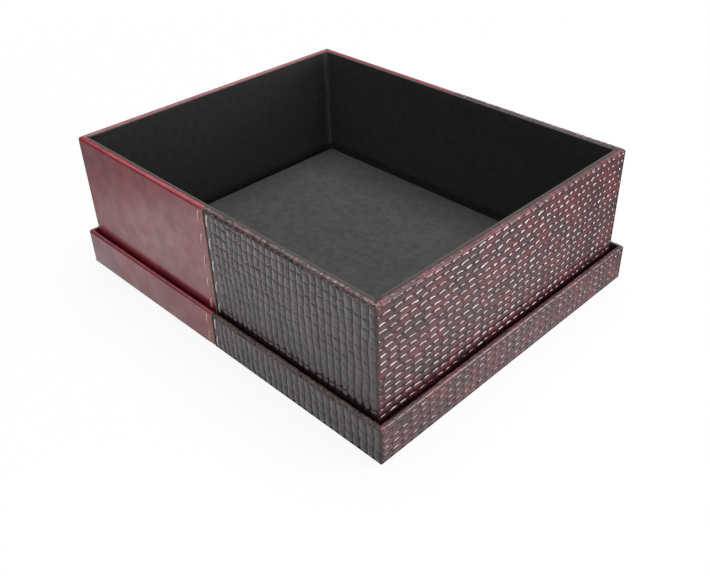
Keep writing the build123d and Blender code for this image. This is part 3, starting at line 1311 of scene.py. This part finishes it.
class STATIONERY_OT_stage(bpy.types.Operator):
    """Sets up the pale floor, the soft lights and the camera"""

    bl_idname = "stationery.stage"
    bl_label = "Stage"

    def execute(self, context):
        scene = context.scene
        scene.view_settings.view_transform = "Standard"
        self.floor(scene.box_colours.backdrop)
        self.flags()
        self.world(scene)
        for softbox in SOFTBOXES:
            self.lamp(scene, *softbox)
        self.camera(scene)
        return {"FINISHED"}

    def backdrop_rays(self, finish):
        """1 for rays that should see the plain white background."""
        path = finish.node("ShaderNodeLightPath", output="Is Camera Ray")
        seen = path + path.output("Is Glossy Ray") + path.output("Is Transmission Ray")
        return finish.node("ShaderNodeMath", {"operation": "MINIMUM"}, {0: seen, 1: 1.0})

    def staged(self, name, shape, **settings):
        """A new piece for the stage only, and its new material."""
        piece = primitive(name, shape, **settings)
        made = bpy.data.materials.new(name)
        made.use_nodes = True
        piece.data.materials.append(made)
        return piece, made

    def floor(self, backdrop):
        """Paper that the camera sees as plain white and the box sees with a painted pool of light and
        painted shade.
        """
        made = self.staged("floor", bpy.ops.mesh.primitive_plane_add, size=FLOOR_SIZE)[1]
        made.cycles.emission_sampling = "NONE"
        finish = Finish(made.node_tree)
        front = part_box("lid_embossed_cover")[0].y
        place = finish.node("ShaderNodeNewGeometry", output="Position")
        pool = {"operation": "DISTANCE"}
        distance = finish.node("ShaderNodeVectorMath", pool, {0: place, 1: LIGHT_POOL}, output="Value")
        camera = finish.node("ShaderNodeLightPath", output="Is Camera Ray")
        side = finish.node("ShaderNodeSeparateXYZ", sockets={0: place}, output="X")
        depth = side.output("Y")
        # Painted light that the leather mirrors: a painted pool of light, with painted shade on the left,
        # a painted contact shadow in front, painted shade behind, and less far away
        lit = 0.32 + 0.68 * finish.rise(side, -0.38, -0.16) - 0.10 * finish.rise(side, -0.06, 0.12)
        painted_contact_shadow = 0.60 + 0.40 * finish.rise(front - depth, 0.0, 0.07)
        behind = 1.0 - 0.68 * finish.rise(depth, 0.02, 0.30)
        gloss = lit * painted_contact_shadow * behind * (1.0 - 0.55 * finish.rise(distance, *GLOW_POOL))
        # The camera itself sees white paper with a faint soft shadow around the box
        strength = camera + (1.0 - camera) * gloss
        paper = finish.node("ShaderNodeBsdfDiffuse", sockets={"Color": backdrop})
        white = {"Color": (1.0, 1.0, 1.0), "Strength": strength}
        glow = finish.node("ShaderNodeEmission", sockets=white)
        shaded = 0.10 * (1.0 - finish.rise(distance, *SHADE_POOL))
        share = self.backdrop_rays(finish) * (1.0 - camera * shaded)
        mixed = finish.node("ShaderNodeMixShader", sockets={0: share, 1: paper, 2: glow})
        finish.node("ShaderNodeOutputMaterial", sockets={"Surface": mixed})

    def flags(self):
        """Dark cloth around the set, which only the leather sees: a dark sheet standing in for the dark
        room, as painted shade in the leather's reflections.
        """
        cloth, made = self.staged(
            "dark_flags",
            bpy.ops.mesh.primitive_cylinder_add,
            vertices=FLAG_SIDES,
            radius=FLAG_RADIUS,
            depth=FLAG_HEIGHT,
            end_fill_type="NOTHING",
            location=UP * (FLAG_GAP + FLAG_HEIGHT / 2),
        )
        finish = Finish(made.node_tree)
        dark = finish.node("ShaderNodeBsdfDiffuse", sockets={"Color": FLAG_BLACK})
        finish.node("ShaderNodeOutputMaterial", sockets={"Surface": dark})
        cloth.visible_camera = False
        cloth.visible_shadow = False

    def world(self, scene):
        """Soft light all around, seen as plain white."""
        world = bpy.data.worlds.new("studio")
        scene.world = world
        world.use_nodes = True
        world.cycles.sampling_method = "NONE"
        finish = Finish(world.node_tree)
        soft = finish.node("ShaderNodeBackground", sockets={"Strength": AMBIENT})
        white = finish.node("ShaderNodeBackground", sockets={"Color": (1, 1, 1), "Strength": 1.0})
        seen = self.backdrop_rays(finish)
        mixed = finish.node("ShaderNodeMixShader", sockets={0: seen, 1: soft, 2: white})
        finish.node("ShaderNodeOutputWorld", sockets={"Surface": mixed})

    def lamp(self, scene, name, place, target, size, power):
        """A softbox aimed at a target."""
        lamp = bpy.data.lights.new(name, "AREA")
        lamp.shape = "RECTANGLE"
        lamp.size, lamp.size_y = size
        lamp.energy = power
        holder = bpy.data.objects.new(name, lamp)
        scene.collection.objects.link(holder)
        holder.location = place
        aim = Vector(target) - Vector(place)
        holder.rotation_euler = aim.to_track_quat("-Z", "Y").to_euler()

    def camera(self, scene):
        """The camera, above the near front corner."""
        data = bpy.data.cameras.new("camera")
        data.sensor_width, data.lens = SENSOR, LENS
        data.shift_x, data.shift_y = LENS_SHIFT
        holder = bpy.data.objects.new("camera", data)
        scene.collection.objects.link(holder)
        holder.location = CAMERA_PLACE
        holder.rotation_euler = [math.radians(turn) for turn in CAMERA_TURN]
        scene.camera = holder


# ---------------------------------------------------------------- add-on


class STATIONERY_PT_panel(bpy.types.Panel):
    """Lists the steps of dressing the box"""

    bl_idname = "STATIONERY_PT_panel"
    bl_label = "Stationery Box"
    bl_space_type = "VIEW_3D"
    bl_region_type = "UI"
    bl_category = "Stationery Box"

    def draw(self, context):
        for step in OPERATORS:
            self.layout.operator(step.bl_idname)
        for group in (context.scene.box_sizes, context.scene.box_colours):
            for setting in group.bl_rna.properties.keys():
                if setting not in ("rna_type", "name"):
                    self.layout.prop(group, setting)


OPERATORS = (
    STATIONERY_OT_smooth_leather,
    STATIONERY_OT_embossed_box,
    STATIONERY_OT_embossed_lid,
    STATIONERY_OT_velvet,
    STATIONERY_OT_boards,
    STATIONERY_OT_stitching,
    STATIONERY_OT_stage,
)
CLASSES = (BoxSizes, BoxColours) + OPERATORS + (STATIONERY_PT_panel,)


def register():
    for entry in CLASSES:
        bpy.utils.register_class(entry)
    bpy.types.Scene.box_sizes = bpy.props.PointerProperty(type=BoxSizes)
    bpy.types.Scene.box_colours = bpy.props.PointerProperty(type=BoxColours)


def unregister():
    del bpy.types.Scene.box_colours
    del bpy.types.Scene.box_sizes
    for entry in reversed(CLASSES):
        bpy.utils.unregister_class(entry)


def main():
    register()
    bpy.ops.stationery.smooth_leather()
    bpy.ops.stationery.embossed_box()
    bpy.ops.stationery.embossed_lid()
    bpy.ops.stationery.velvet()
    bpy.ops.stationery.boards()
    bpy.ops.stationery.stitching()
    bpy.ops.stationery.stage()


if __name__ == "__main__":
    main()
